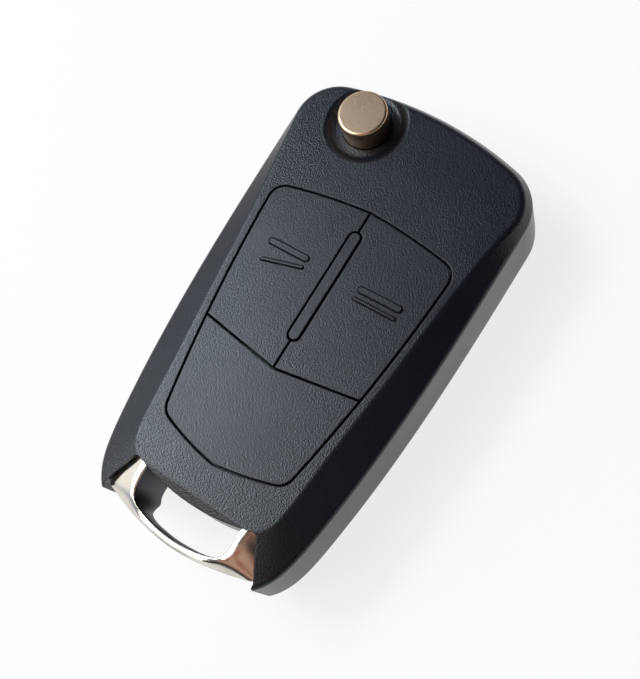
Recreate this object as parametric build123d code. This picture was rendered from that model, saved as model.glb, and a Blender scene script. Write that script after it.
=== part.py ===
"""Folding car key fob: a two-button case with a swing-out blade, a chrome release button and a key ring loop.

The frame has +X to the right of the button face, +Y towards the head that carries the blade pivot and
+Z out of the button face. The origin is at the middle of the outline, on the surface that the back lies on.
All sizes are in millimetres.
"""

from build123d import *
import math
import os

# Heights, from the back face up
deck_z = 14.5
crease_drop = 1.9
parting_z = 5.2
back_crease_z = 4.0
back_floor = 2.2
slot_height = 4.9
slot_roof = 0.6
ceiling_drop = 2.3

# The width of the band that an edge's height is looked for in, and how far a cut passes through a face
tiny = 0.01
overcut = 1.0

# Plan outline of the case, on its right half: (half width, y) from the ring end to the head
side_stations = [
    (13.1, -33.9),
    (15.0, -31.2),
    (16.15, -27.6),
    (16.95, -23.0),
    (17.85, -16.0),
    (18.65, -7.0),
    (19.2, 3.0),
    (19.5, 14.0),
]
head_right_start = (19.65, 25.2)
head_right_mid = (18.2, 29.9)
head_right_end = (14.0, 32.8)
head_top = (-1.0, 35.4)
head_left_end = (-13.9, 34.4)
head_left_mid = (-18.05, 31.9)
head_left_start = (-19.6, 27.0)
head_right_turns = (0, 45, 80)
head_left_turns = (0, 45, 85)
flare = 0.3

# How many side points, from the ring end, the outline takes to turn from the end to the side
tail_turn_stations = 3

# Flat deck inside the bevel, on its right half, and how far the back face is pulled in
deck_stations = [
    (9.6, -27.6),
    (11.4, -25.9),
    (12.3, -22.6),
    (13.2, -14.0),
    (14.5, -3.0),
    (15.9, 10.0),
    (17.5, 21.0),
]
deck_head_inset = 1.1
back_inset = 3.4
back_room_drop = 1.5
wall = 1.7
deck_edge_round = 1.0
crease_round = 0.8

# Button panel opening
panel_top = 17.8
panel_top_corner = (15.1, 15.6)
panel_waist = (13.05, -5.9)
panel_low_corner = (10.5, -20.6)
panel_top_bow = 0.35
panel_bottom = -23.2
panel_bottom_bow = 0.35
panel_corner_round = 2.6
vee_middle = -7.9
seam = 0.34
button_travel = 0.5
flange_out = 0.8
flange_thick = 0.7
flange_gap = 0.1
rib_width = 1.5
rib_low = -3.2
rib_high = 14.1
rib_proud = 0.1
spine_width = 2.0
spine_depth = 0.7
panel_block_width = 9.0
panel_block_length = 5.0
mark_rise = 0.25
mark_width = 1.0
thin_mark_width = 0.5
left_mark = (-10.4, 7.6, -4.6, 7.6)
left_thin_mark = (-10.2, 4.7, -4.4, 6.2)
right_mark = (4.9, 7.3, 10.8, 7.3)
right_thin_mark = (4.7, 5.8, 10.9, 5.8)
post_x = 5.2
post_y = 5.0
post_radius = 1.6

# Blade pivot and release button
pivot_x = -8.0
pivot_y = 29.3
plunger_radius = 3.6
plunger_proud = 3.1
plunger_bottom = 6.2
plunger_wall = 0.9
plunger_roof = 1.6
plunger_rim = 0.35
running_gap = 0.08
bore_gap = 0.15
swing_gap = 0.2
dish_radius = 6.5
dish_floor_radius = 4.6
dish_depth = 0.95
dish_lip = 0.05
dish_lip_slope = 0.15
lug_reach = 4.7
lug_width = 1.6
lug_rise = 1.3
lug_height = 2.3
hub_radius = 5.9
hub_boss_radius = 5.0
hub_boss_depth = 0.8
pocket_radius = 9.8
arm_inner = 1.0
arm_width = 8.1
arm_length = 9.0
arm_round = 1.0
seat_flange = 1.0
seat_radius = 3.3
seat_post_radius = 1.2
seat_post_top = 7.4
spring_radius = 1.9
spring_wire = 0.6
spring_turns = 7

# Blade
blade_offset = 6.2
blade_width = 6.4
blade_thick = 2.4
blade_length = 44.0
blade_root = 5.0
blade_tip_length = 4.5
blade_tip_width = 2.6
groove_width = 1.5
groove_depth = 0.6
groove_offset = 1.28
groove_start_gap = 1.5
blade_pin_radius = 0.8
slot_end_gap = 1.0
slot_wall = 0.8
slot_mouth_x = 2.3

# Battery and circuit
cell_radius = 10.0
cell_height = 3.2
cell_x = 1.8
cell_y = -9.5
cell_gap = 0.4
cell_edge = 0.4
cell_step = 1.4
cell_rise = 0.15
cover_half_width = 12.4
cover_low = -23.0
cover_high = 3.6
cover_round = 5.0
cover_thick = 1.3
cover_gap = 0.1
cover_slot_length = 7.0
cover_slot_width = 1.6
cover_slot_depth = 0.6
board_z = 6.9
board_thick = 0.8
board_gap = 0.3
board_low = -21.5
board_high = 18.0
board_post_radius = 1.2
board_posts = [(13.4, -14.0), (13.8, 13.5), (-7.2, 15.5), (-7.2, -20.0)]
switch_size = 4.4
switch_height = 1.5
switch_stem = 0.2
mat_thick = 0.7
mat_rim = 0.8
mat_low = -5.5
mat_high = 15.5
mat_right = 14.2
dome_gap = 0.05
chip_size = 5.0
chip_height = 1.0
chip_place = (7.5, -15.0)
chip_dot_inset = 1.0
chip_dot_radius = 0.4
chip_dot_depth = 0.2
coil_size = (11.0, 3.4, 2.6)
coil_place = (7.0, 17.0)
coil_chamfer = 0.4
clip_thick = 0.3
contact_gap = 0.02
contact_thick = 0.2
clip_width = 4.0
clip_reach = 6.0

# Key ring loop
notch_top = -27.3
notch_corner_x = 10.3
notch_mouth_x = 12.9
notch_belly = 1.7
notch_low_belly = 2.5
notch_round = 0.8
loop_gap = 0.1
loop_end_x = 12.7
loop_end_y = -33.1
loop_outer_y = -35.9
loop_inner_y = -34.1
post_inner_x = 7.9
loop_inner_round = 1.8
loop_face_drop = 0.45
loop_low = 4.4
loop_bar_high = 12.3
loop_bar_low = 5.2
loop_waist_z = 9.4
loop_top_lean = 1.25
loop_foot_lean = 0.7
loop_slope_y = -28.6
loop_lug_radius = 1.0
loop_lug_reach = 3.0
loop_lug_root = 0.6
loop_lug_x = 8.9

# Case screws
screw_places = [(14.0, 24.0), (12.2, -23.6)]
screw_radius = 0.8
screw_head_radius = 1.6
screw_head_height = 1.0
screw_length = 7.5
screw_tip_gap = 1.0
screw_recess = 0.5
screw_slot = 0.5
boss_radius = 2.2
boss_gap = 0.1

# Heights and places that follow from the sizes above
crease_z = deck_z - crease_drop
ceiling_z = deck_z - ceiling_drop
slot_top = parting_z + slot_height
button_floor_z = slot_top + slot_roof
dish_z = deck_z - dish_depth
hub_low = parting_z + swing_gap
hub_high = slot_top - swing_gap
blade_mid_z = (hub_low + hub_high) / 2
plunger_top = deck_z + plunger_proud
lug_top = hub_high + lug_rise
board_top = board_z + board_thick
switch_top = board_top + switch_height
mat_top = switch_top + mat_thick
flange_top = ceiling_z - flange_gap
flange_low = flange_top - flange_thick
post_low = mat_top + button_travel + dome_gap
spine_top = flange_low - button_travel - flange_gap
spine_low = spine_top - spine_depth
slot_inner_x = pivot_x - blade_offset + blade_width / 2 + swing_gap
slot_end_y = pivot_y - blade_root - blade_length - slot_end_gap
cell_low = cover_thick + cell_rise
cell_top = cell_low + cell_height
loop_high = deck_z - loop_face_drop
blade_x = pivot_x - blade_offset
blade_pin_y = pivot_y - (blade_root + arm_length) / 2
screw_top = screw_recess + screw_head_height + screw_length

# Farther from the middle than any edge of the case
far = 2 * panel_top_corner[0]


def slab(face, low, high):
    """A flat face on the XY plane as a solid from one height to another."""
    return extrude(Pos(0, 0, low) * face, amount=high - low, dir=(0, 0, 1))


def box(x0, y0, z0, x1, y1, z1):
    """A block between two corners."""
    return Pos((x0 + x1) / 2, (y0 + y1) / 2, (z0 + z1) / 2) * Box(x1 - x0, y1 - y0, z1 - z0)


def rod(x, y, z0, z1, radius):
    """An upright round bar."""
    return Pos(x, y, (z0 + z1) / 2) * Cylinder(radius, z1 - z0)


def polygon(points):
    """A straight-sided face."""
    return make_face(Polyline(*points, close=True))


def mirrored(points):
    """The same points on the left half, in the reverse order."""
    return [(-x, y) for x, y in reversed(points)]


def plan(stations, right, top, left):
    """The case outline as a face: a spline up each side, two round corners and a curved head."""
    low = stations[0]
    side = [*stations, right[0]]
    other = mirrored([*stations, (-left[0][0], left[0][1])])
    edges = [
        Line((-low[0], low[1]), low),
        Spline(*side),
        ThreePointArc(*right),
        ThreePointArc(right[2], top, left[2]),
        ThreePointArc(left[2], left[1], left[0]),
        Spline(*other),
    ]
    return make_face(edges)


def pulled_in(points, inset):
    """The three points of a head corner, each moved in along the case's own edge direction there."""
    side = math.copysign(1, points[0][0])
    turns = head_right_turns if side > 0 else head_left_turns
    moved = []
    for (x, y), turn in zip(points, turns):
        angle = math.radians(turn)
        moved.append((x - side * inset * math.cos(angle), y - inset * math.sin(angle)))
    return moved


def headed_plan(stations, inset):
    """An outline with the given sides, whose head is pulled in by one amount."""
    right = pulled_in((head_right_start, head_right_mid, head_right_end), inset)
    left = pulled_in((head_left_start, head_left_mid, head_left_end), inset)
    return plan(stations, right, (head_top[0], head_top[1] - inset), left)


def case_plan(inset=0.0):
    """The outline at the crease, pulled in all round by one amount."""
    stations = []
    for place, (width, y) in enumerate(side_stations):
        lift = max(0, 1 - place / tail_turn_stations)
        stations.append((width - inset, y + inset * lift))
    return headed_plan(stations, inset)


def deck_plan():
    """The outline of the flat deck that the bevel climbs to."""
    return headed_plan(deck_stations, deck_head_inset)


def outer_front():
    """The front half of the case before it is hollowed."""
    body = loft([Pos(0, 0, parting_z) * case_plan(-flare), Pos(0, 0, crease_z) * case_plan()])
    cap = loft([Pos(0, 0, crease_z) * case_plan(), Pos(0, 0, deck_z) * deck_plan()])
    return body + cap


def outer_back():
    """The rear half of the case before it is hollowed."""
    body = slab(case_plan(-flare), back_crease_z, parting_z)
    cap = loft([case_plan(back_inset), Pos(0, 0, back_crease_z) * case_plan(-flare)])
    return body + cap


def pivot_rod(z0, z1, radius):
    """An upright round bar on the blade's pivot."""
    return rod(pivot_x, pivot_y, z0, z1, radius)


def pivot_box(x0, y0, z0, x1, y1, z1):
    """A block whose corners are measured from the blade's pivot."""
    return box(pivot_x + x0, pivot_y + y0, z0, pivot_x + x1, pivot_y + y1, z1)


def opening_plan():
    """The opening in the deck that the buttons and the lower panel fill."""
    high, low = panel_top_corner, panel_low_corner
    edges = []
    for side in (-1, 1):
        top_middle = (side * high[0] / 2, (high[1] + panel_top) / 2 + panel_top_bow)
        low_middle = (side * low[0] / 2, (low[1] + panel_bottom) / 2 - panel_bottom_bow)
        edges.append(ThreePointArc((0, panel_top), top_middle, (side * high[0], high[1])))
        waist = (side * panel_waist[0], panel_waist[1])
        edges.append(ThreePointArc((side * high[0], high[1]), waist, (side * low[0], low[1])))
        edges.append(ThreePointArc((side * low[0], low[1]), low_middle, (0, panel_bottom)))
    face = make_face(edges)
    corners = [v for v in face.vertices() if abs(v.X) > tiny]
    return fillet(corners, panel_corner_round)


def grown(face, amount):
    """A flat face with its edge moved out, or in where the amount is negative."""
    return make_face(offset(face, amount, kind=Kind.INTERSECTION).face().outer_wire())


def vee_line(x, side):
    """The height on the page of the line between the buttons and the lower panel."""
    slope = (panel_waist[1] - vee_middle) / panel_waist[0]
    return vee_middle + slope * abs(x) + side * seam / 2


def button_region():
    """Everything to the left of the middle seam and above the line over the lower panel."""
    near = seam / 2
    return polygon([(-near, vee_line(near, 1)), (-far, vee_line(far, 1)), (-far, far), (-near, far)])


def lower_region():
    """Everything below the line over the lower panel."""
    end = vee_line(far, -1)
    return polygon([(-far, end), (0, vee_line(0, -1)), (far, end), (far, -far), (-far, -far)])


def rib_plan(gap=0.0):
    """The round-ended rib between the two buttons."""
    length = rib_high - rib_low + 2 * gap
    return Pos(0, (rib_high + rib_low) / 2) * Rot(0, 0, 90) * SlotOverall(length, rib_width + 2 * gap)


def notch_plan(belly, gap=0.0):
    """The gap at the ring end that the loop fills: slanted sides and a wall that bulges outwards."""
    corner = (notch_corner_x - gap, notch_top - gap)
    mouth = (notch_mouth_x - gap, loop_end_y)
    low = loop_outer_y - wall
    edges = [
        ThreePointArc((-corner[0], corner[1]), (0, notch_top - belly - gap), corner),
        Line(corner, mouth),
        Line(mouth, (mouth[0], low)),
        Line((mouth[0], low), (-mouth[0], low)),
        Line((-mouth[0], low), (-mouth[0], mouth[1])),
        Line((-mouth[0], mouth[1]), (-corner[0], corner[1])),
    ]
    face = make_face(edges)
    tops = [v for v in face.vertices() if v.Y > loop_end_y + tiny]
    return fillet(tops, notch_round)


def notch_space(gap=0.0):
    """The whole notch: its wall leans out from the deck to the parting line and is upright below it."""
    low = notch_plan(notch_low_belly, gap)
    high = notch_plan(notch_belly, gap)
    leaning = loft([Pos(0, 0, parting_z) * low, Pos(0, 0, deck_z) * high], ruled=True)
    return leaning + slab(low, -wall, parting_z)


def blade_way():
    """The space that the folded blade lies in and swings out of, through the left side and the head."""
    side = box(-far, slot_end_y, parting_z, slot_inner_x, pivot_y, slot_top)
    head = box(-far, pivot_y, parting_z, slot_mouth_x, far + pivot_y, slot_top)
    return side + head + pivot_rod(parting_z, slot_top, pocket_radius)


def screw_bosses(z0, z1):
    """Round posts that the case screws run into."""
    return [rod(x, y, z0, z1, boss_radius) for x, y in screw_places]


def make_front_shell():
    """The cup-shaped upper half: deck, bevel, sides, the button opening, the dish and the blade's roof."""
    shell = outer_front()
    for height, radius in ((deck_z, deck_edge_round), (crease_z, crease_round)):
        shell = fillet(shell.edges().filter_by_position(Axis.Z, height - tiny, height + tiny), radius)
    room = slab(case_plan(wall), parting_z, ceiling_z)
    head_block = pivot_rod(parting_z, ceiling_z, pocket_radius + slot_wall)
    side_block = box(-far, -far, parting_z, slot_inner_x + slot_wall, pivot_y, ceiling_z)
    corner_block = box(-far, pivot_y, parting_z, slot_mouth_x + slot_wall, far + pivot_y, ceiling_z)
    tail_block = box(-far, -2 * far, parting_z, far, notch_top + wall, ceiling_z)
    room = room - head_block - side_block - corner_block - tail_block
    for boss in screw_bosses(parting_z, ceiling_z):
        room -= boss
    shell = shell - room - blade_way()
    shell -= slab(opening_plan(), button_floor_z, deck_z + overcut)
    shell -= slab(grown(opening_plan(), flange_out + bore_gap), button_floor_z, ceiling_z)
    shell -= notch_space()
    for lug in loop_lugs(loop_lug_radius + boss_gap):
        shell -= lug
    shell -= pivot_rod(slot_top - overcut, deck_z + overcut, plunger_radius + running_gap)
    shell -= pivot_rod(slot_top - overcut, lug_top + swing_gap, lug_reach + swing_gap)
    shell -= make_dish()
    for x, y in screw_places:
        shell -= rod(x, y, parting_z - overcut, screw_top + screw_tip_gap, screw_radius + boss_gap)
    return shell


def make_dish():
    """The soft round hollow that the release button stands in."""
    rim_z = deck_z + dish_lip
    foot = (dish_floor_radius, dish_z)
    middle = ((dish_radius + dish_floor_radius) / 2, (dish_z + rim_z) / 2)
    rim = (dish_radius, rim_z)
    profile = [
        Line((0, dish_z), foot),
        Spline(foot, middle, rim, tangents=((1, 0), (1, dish_lip_slope))),
        Line(rim, (0, rim_z)),
        Line((0, rim_z), (0, dish_z)),
    ]
    return Pos(pivot_x, pivot_y, 0) * revolve(Plane.XZ * make_face(profile), Axis.Z)


def make_rear_shell():
    """The shallow lower half: floor, blade ledge, battery well, posts and screw holes."""
    shell = outer_back()
    room = slab(case_plan(wall + cover_gap), back_floor, parting_z)
    room -= box(-far, -far, back_floor, slot_inner_x + slot_wall, pivot_y, parting_z)
    pocket_low = pivot_y - pocket_radius
    room -= box(-far, pocket_low, back_floor, slot_mouth_x + slot_wall, far + pivot_y, parting_z)
    room -= box(-far, -2 * far, back_floor, far, notch_top + wall, parting_z)
    for boss in screw_bosses(back_floor, parting_z):
        room -= boss
    inner = slab(case_plan(wall + back_inset), 0, parting_z)
    upper = slab(case_plan(wall + cover_gap), back_crease_z - back_room_drop, parting_z)
    shell -= room & (inner + upper)
    shell -= rod(cell_x, cell_y, 0, parting_z, cell_radius + cell_gap)
    shell -= slab(cover_plan(cover_gap), 0, cover_thick + cover_gap)
    shell -= notch_space()
    for lug in loop_lugs(loop_lug_radius + boss_gap):
        shell -= lug
    shell -= pivot_rod(back_floor, parting_z, plunger_radius + bore_gap)
    ring = pivot_rod(parting_z - overcut, hub_low + hub_boss_depth - bore_gap, hub_boss_radius)
    shell += ring - pivot_rod(0, deck_z, plunger_radius + bore_gap)
    for x, y in board_posts:
        shell += rod(x, y, back_floor, board_z, board_post_radius)
    for x, y in screw_places:
        shell -= rod(x, y, 0, parting_z, screw_radius + boss_gap)
        shell -= rod(x, y, 0, screw_recess + screw_head_height, screw_head_radius + boss_gap)
    return shell


def button_blank():
    """The left button without its marks: a plate with a flange behind the deck and a post over its switch."""
    plate = (grown(opening_plan(), -seam) & button_region()) - rib_plan(seam)
    rim = (grown(opening_plan(), flange_out) & button_region()) - rib_plan(seam)
    button = slab(plate, flange_top, deck_z) + slab(rim, flange_low, flange_top)
    return button + rod(-post_x, post_y, post_low, flange_low, post_radius)


def mark(x0, y0, x1, y1, width):
    """One raised bar with round ends, between the middles of its ends."""
    turn = math.degrees(math.atan2(y1 - y0, x1 - x0))
    length = math.hypot(x1 - x0, y1 - y0) + width
    bar = Pos((x0 + x1) / 2, (y0 + y1) / 2) * Rot(0, 0, turn) * SlotOverall(length, width)
    return slab(bar, deck_z - mark_rise, deck_z + mark_rise)


def make_left_button():
    """The left button, with a level bar over a slanted one."""
    return button_blank() + mark(*left_mark, mark_width) + mark(*left_thin_mark, thin_mark_width)


def make_right_button():
    """The right button, with two level bars."""
    blank = mirror(button_blank(), Plane.YZ)
    return blank + mark(*right_mark, mark_width) + mark(*right_thin_mark, thin_mark_width)


def make_panel_insert():
    """The blank lower panel and, on a spine that passes under the buttons, the rib between them."""
    plate = grown(opening_plan(), -seam) & lower_region()
    rim = grown(opening_plan(), flange_out) & lower_region()
    insert = slab(plate, flange_top, deck_z) + slab(rim, flange_low, flange_top)
    high = vee_line(0, -1)
    half = panel_block_width / 2
    block_low = high - panel_block_length
    insert += box(-half, block_low, spine_low, half, high - seam, flange_top)
    insert += box(-spine_width / 2, block_low, spine_low, spine_width / 2, rib_high, spine_top)
    insert += slab(rib_plan(), spine_low, deck_z + rib_proud)
    return insert


def board_plan():
    """The circuit board's outline, inside the case and clear of the blade's pocket."""
    left = slot_inner_x + slot_wall + board_gap
    field = Rectangle(far - left, board_high - board_low)
    middle = Pos((left + far) / 2, (board_low + board_high) / 2)
    plan_face = case_plan(wall + board_gap) & middle * field
    plan_face -= Pos(pivot_x, pivot_y) * Circle(pocket_radius + slot_wall + board_gap)
    for x, y in screw_places:
        plan_face -= Pos(x, y) * Circle(boss_radius + board_gap)
    return plan_face


def make_button_mat():
    """The rubber mat: a sheet over the switches with a rim that stands on the board."""
    left = slot_inner_x + slot_wall + 2 * board_gap
    mat = box(left, mat_low, board_top, mat_right, mat_high, mat_top)
    inner_right = mat_right - mat_rim
    inner_top = switch_top + switch_stem
    mat -= box(left + mat_rim, mat_low + mat_rim, board_top, inner_right, mat_high - mat_rim, inner_top)
    return mat


def make_switch(side):
    """A small push switch soldered on the board, with its round stem."""
    x = side * post_x
    half = switch_size / 2
    height = switch_height - switch_stem
    body = box(x - half, post_y - half, board_top, x + half, post_y + half, board_top + height)
    return body + rod(x, post_y, board_top + height, switch_top, half / 2)


def make_control_chip():
    """The control chip on the board, with a small dot at its first corner."""
    x, y = chip_place
    half = chip_size / 2
    top = board_top + chip_height
    chip = box(x - half, y - half, board_top, x + half, y + half, top)
    corner = half - chip_dot_inset
    return chip - rod(x - corner, y + corner, top - chip_dot_depth, top, chip_dot_radius)


def make_transponder():
    """The transponder coil, a wound bar that lies beside the blade's pocket on the rear floor."""
    x, y = coil_place
    length, width, height = coil_size
    bar = Pos(x, y, back_floor + height / 2) * Box(length, width, height)
    return chamfer(bar.edges().filter_by(Axis.X), coil_chamfer)


def make_battery_clip():
    """The contact under the board: a plate with a finger that bears down on the cell."""
    left = cell_x - clip_width / 2
    right = cell_x + clip_width / 2
    low = cell_y - clip_reach
    plate = box(left, low, board_z - clip_thick, right, cell_y + clip_reach, board_z)
    arm = box(left, low, cell_top, right, low + clip_thick, board_z)
    foot = box(left, low, cell_top, right, cell_y, cell_top + clip_thick)
    return plate + arm + foot


def make_side_contact():
    """The contact strip that bears on the cell's rim and runs up to the board."""
    x = cell_x + cell_radius + contact_gap
    half = clip_width / 2
    return box(x, cell_y - half, cell_low + 2 * cell_edge, x + contact_thick, cell_y + half, board_z)


def make_coin_cell():
    """The coin cell: a can with a rounded rim and a slightly smaller cap."""
    can = rod(cell_x, cell_y, cell_low + cell_edge, cell_top, cell_radius)
    can = fillet(can.edges().filter_by_position(Axis.Z, cell_top - tiny, cell_top + tiny), cell_edge)
    return can + rod(cell_x, cell_y, cell_low, cell_low + 2 * cell_edge, cell_radius - cell_step)


def cover_plan(gap=0.0):
    """The battery cover's outline: a rounded tongue."""
    width = 2 * (cover_half_width + gap)
    length = cover_high - cover_low + 2 * gap
    return Pos(0, (cover_low + cover_high) / 2) * RectangleRounded(width, length, cover_round + gap)


def make_battery_cover():
    """The cover over the cell, with a coin slot in its outer face."""
    cover = slab(cover_plan(), 0, cover_thick)
    slot = Pos(cell_x, cell_y) * SlotOverall(cover_slot_length, cover_slot_width)
    return cover - slab(slot, 0, cover_slot_depth)


def bow_plan(lean):
    """Everything on the case's side of the loop's curved outer edge, moved in by the lean."""
    left = (-loop_end_x, loop_end_y + lean)
    right = (loop_end_x, loop_end_y + lean)
    edges = [
        ThreePointArc(left, (0, loop_outer_y + lean), right),
        Line(right, (loop_end_x, 0)),
        Line((loop_end_x, 0), (-loop_end_x, 0)),
        Line((-loop_end_x, 0), left),
    ]
    return make_face(edges)


def ring_hole():
    """The opening that a key ring passes through."""
    rise = (loop_end_y - loop_outer_y) * (post_inner_x / loop_end_x) ** 2
    low = loop_inner_y + rise
    edges = [
        ThreePointArc((-post_inner_x, low), (0, loop_inner_y), (post_inner_x, low)),
        Line((post_inner_x, low), (post_inner_x, 0)),
        Line((post_inner_x, 0), (-post_inner_x, 0)),
        Line((-post_inner_x, 0), (-post_inner_x, low)),
    ]
    face = make_face(edges)
    return fillet([v for v in face.vertices() if v.Y < notch_top], loop_inner_round)


def loop_lugs(radius):
    """The round lugs that run from the posts into the case, between its two halves."""
    middle = notch_top - loop_lug_root + loop_lug_reach / 2
    lug = Rot(90, 0, 0) * Cylinder(radius, loop_lug_reach)
    return [Pos(side * loop_lug_x, middle, parting_z) * lug for side in (-1, 1)]


def make_key_ring_loop():
    """The chrome loop: deep posts, a bar whose outer face leans with the bevel, and lugs into the case."""
    deck_lean = loop_top_lean * (deck_z - loop_waist_z) / (loop_bar_high - loop_waist_z)
    leans = [(loop_low, loop_foot_lean), (loop_waist_z, 0), (deck_z, deck_lean)]
    body = loft([Pos(0, 0, z) * bow_plan(lean) for z, lean in leans], ruled=True)
    body &= notch_space(loop_gap)
    body -= slab(ring_hole(), 0, deck_z)
    side = [
        (0, loop_low),
        (0, loop_high),
        (loop_slope_y, loop_high),
        (loop_end_y, loop_bar_high),
        (loop_outer_y, loop_bar_high),
        (loop_outer_y, loop_bar_low),
        (loop_end_y, loop_bar_low),
        (loop_slope_y, loop_low),
    ]
    across = make_face(Polyline(*[(0, y, z) for y, z in side], close=True))
    body &= extrude(across, amount=notch_mouth_x, dir=(1, 0, 0), both=True)
    for lug in loop_lugs(loop_lug_radius):
        body += lug
    return body


def make_case_screws():
    """The screws that hold the two halves together, put in from the back."""
    screws = []
    for x, y in screw_places:
        head = rod(x, y, screw_recess, screw_recess + screw_head_height, screw_head_radius)
        screw = head + rod(x, y, screw_recess, screw_top, screw_radius)
        for turn in (0, 90):
            slot = Box(2 * screw_radius, screw_slot, screw_slot)
            screw -= Pos(x, y, screw_recess + screw_slot / 2) * Rot(0, 0, turn) * slot
        screws.append(screw)
    return screws


def make_release_button():
    """The sprung plunger: a chrome cap with a raised rim, a hollow skirt and two lugs in the blade's hub."""
    plunger = pivot_rod(plunger_bottom, plunger_top, plunger_radius)
    top_edges = plunger.edges().filter_by_position(Axis.Z, plunger_top - tiny, plunger_top + tiny)
    plunger = fillet(top_edges, plunger_rim)
    plunger -= pivot_rod(plunger_bottom, plunger_top - plunger_roof, plunger_radius - plunger_wall)
    for side in (-1, 1):
        inner = side * (plunger_radius - plunger_wall / 2)
        outer = side * lug_reach
        low, high = sorted((inner, outer))
        plunger += pivot_box(low, -lug_width / 2, lug_top - lug_height, high, lug_width / 2, lug_top)
    return plunger


def make_blade_head():
    """The blade's hub and arm: bored for the plunger, slotted for its lugs and seated on a ring."""
    hub = pivot_rod(hub_low, hub_high, hub_radius)
    hub += pivot_box(-arm_inner - arm_width, -arm_length, hub_low, -arm_inner, 0, hub_high)
    upright = hub.edges().filter_by(Axis.Z)
    hub = fillet(upright.filter_by(lambda edge: (edge @ 0).Y < pivot_y - arm_length + tiny), arm_round)
    hub -= pivot_rod(hub_low, hub_high, plunger_radius + bore_gap)
    hub -= pivot_rod(hub_low, hub_low + hub_boss_depth, hub_boss_radius + bore_gap)
    reach = lug_reach + bore_gap
    half = lug_width / 2 + bore_gap
    hub -= pivot_box(-reach, -half, hub_low, reach, half, hub_high)
    half = blade_width / 2
    low = blade_mid_z - blade_thick / 2
    root_end = pivot_y - arm_length - overcut
    hub -= box(blade_x - half, root_end, low, blade_x + half, pivot_y - blade_root, low + blade_thick)
    return hub - rod(blade_x, blade_pin_y, hub_low, hub_high, blade_pin_radius)


def make_blade():
    """The uncut key blade: a straight bar with a groove in each face and a tapered tip."""
    half = blade_width / 2
    tip = blade_tip_width / 2
    top = pivot_y - blade_root
    low = top - blade_length
    points = [
        (blade_x - half, top),
        (blade_x - half, low + blade_tip_length),
        (blade_x - tip, low),
        (blade_x + tip, low),
        (blade_x + half, low + blade_tip_length),
        (blade_x + half, top),
    ]
    blade = slab(polygon(points), blade_mid_z - blade_thick / 2, blade_mid_z + blade_thick / 2)
    start = pivot_y - arm_length - groove_start_gap
    for side in (-1, 1):
        face_z = blade_mid_z + side * blade_thick / 2
        left = blade_x + side * groove_offset - groove_width / 2
        right = left + groove_width
        blade -= box(left, low - overcut, face_z - groove_depth, right, start, face_z + groove_depth)
    return blade - rod(blade_x, blade_pin_y, hub_low, hub_high, blade_pin_radius)


def make_blade_pin():
    """The roll pin that holds the blade in its head."""
    return rod(blade_x, blade_pin_y, hub_low, hub_high, blade_pin_radius)


def make_spring_seat():
    """The seat under the flip spring: a flange on the rear floor and a post up the spring's middle."""
    seat = pivot_rod(back_floor, back_floor + seat_flange, seat_radius)
    return seat + pivot_rod(back_floor, seat_post_top, seat_post_radius)


def make_flip_spring():
    """The coil spring that lifts the plunger and turns the blade."""
    low = back_floor + seat_flange + spring_wire / 2 + contact_gap
    high = plunger_top - plunger_roof - spring_wire / 2 - contact_gap
    path = Helix((high - low) / spring_turns, high - low, spring_radius)
    start = path @ 0
    section = Plane(origin=start, z_dir=path % 0) * Circle(spring_wire / 2)
    coil = sweep(section, path, is_frenet=True)
    return Pos(pivot_x, pivot_y, low) * coil


def make_all():
    """Every piece under its own name."""
    return {
        "front_shell": make_front_shell(),
        "rear_shell": make_rear_shell(),
        "panel_insert": make_panel_insert(),
        "left_button": make_left_button(),
        "right_button": make_right_button(),
        "button_mat": make_button_mat(),
        "circuit_board": slab(board_plan(), board_z, board_top),
        "left_switch": make_switch(-1),
        "right_switch": make_switch(1),
        "control_chip": make_control_chip(),
        "transponder": make_transponder(),
        "battery_clip": make_battery_clip(),
        "side_contact": make_side_contact(),
        "coin_cell": make_coin_cell(),
        "battery_cover": make_battery_cover(),
        "key_ring_loop": make_key_ring_loop(),
        "case_screws": Compound(children=make_case_screws()),
        "release_button": make_release_button(),
        "blade_head": make_blade_head(),
        "blade": make_blade(),
        "blade_pin": make_blade_pin(),
        "spring_seat": make_spring_seat(),
        "flip_spring": make_flip_spring(),
    }


os.makedirs("parts", exist_ok=True)
for name, shape in make_all().items():
    export_step(shape, f"parts/{name}.step")
    print(name, round(shape.volume, 1))
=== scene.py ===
# %% [markdown]
# A folding car key lies on a pale table. Its pieces come finished in form from the frame: a grained
# plastic case with two buttons, a round release button, a chrome loop for the key ring, the blade folded
# in its slot, and the battery and circuit inside. This lesson gives each of them the surface it has on
# the real key.

# %% Load the frame
import math

import bmesh
import bpy
from mathutils import Matrix, Vector


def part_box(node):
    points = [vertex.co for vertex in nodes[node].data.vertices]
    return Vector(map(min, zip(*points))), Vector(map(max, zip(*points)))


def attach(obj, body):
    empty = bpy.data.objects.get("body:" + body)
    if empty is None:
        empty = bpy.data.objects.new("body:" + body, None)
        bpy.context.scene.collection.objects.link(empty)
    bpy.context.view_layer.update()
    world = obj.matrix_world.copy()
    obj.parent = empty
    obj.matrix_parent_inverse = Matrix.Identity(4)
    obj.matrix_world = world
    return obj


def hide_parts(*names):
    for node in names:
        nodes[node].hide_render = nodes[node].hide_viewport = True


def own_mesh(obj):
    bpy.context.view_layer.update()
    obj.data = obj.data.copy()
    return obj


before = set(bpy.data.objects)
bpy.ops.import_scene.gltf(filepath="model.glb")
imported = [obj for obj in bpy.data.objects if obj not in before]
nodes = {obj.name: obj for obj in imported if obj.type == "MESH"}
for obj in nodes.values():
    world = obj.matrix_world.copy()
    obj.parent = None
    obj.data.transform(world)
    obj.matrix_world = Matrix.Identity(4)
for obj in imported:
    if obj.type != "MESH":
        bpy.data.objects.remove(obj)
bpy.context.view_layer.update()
scene = bpy.context.scene
MM = 0.001
print("pieces in the frame:", len(nodes))

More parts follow.
